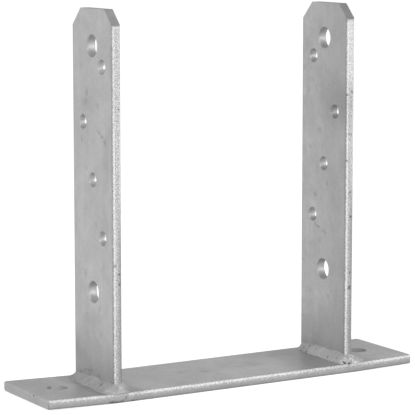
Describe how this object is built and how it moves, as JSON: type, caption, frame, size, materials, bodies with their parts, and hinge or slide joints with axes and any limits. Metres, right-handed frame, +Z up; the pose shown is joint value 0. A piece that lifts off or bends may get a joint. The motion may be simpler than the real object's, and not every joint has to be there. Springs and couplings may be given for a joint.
{
  "type": "post anchor",
  "caption": "Galvanised post anchor: two drilled upright flats with clipped corners welded across a flat base bar with an anchor hole at each end.",
  "frame": {"origin": "middle of the base bar's underside", "axes": "+X along the base bar, +Y across it from the front to the back, +Z up along the uprights"},
  "size_m": [0.229, 0.055, 0.205],
  "materials": {
    "bar_zinc": "hot-dip galvanised, satin, with faint marks",
    "upright_zinc": "hot-dip galvanised, satin, with rough bright edges",
    "weld_zinc": "hot-dip galvanised over rippled weld metal"
  },
  "bodies": {
    "root": {"base_bar": "bar_zinc", "left_upright": "upright_zinc", "right_upright": "upright_zinc", "left_outer_weld": "weld_zinc", "left_inner_weld": "weld_zinc", "right_outer_weld": "weld_zinc", "right_inner_weld": "weld_zinc"}
  },
  "joints": []
}
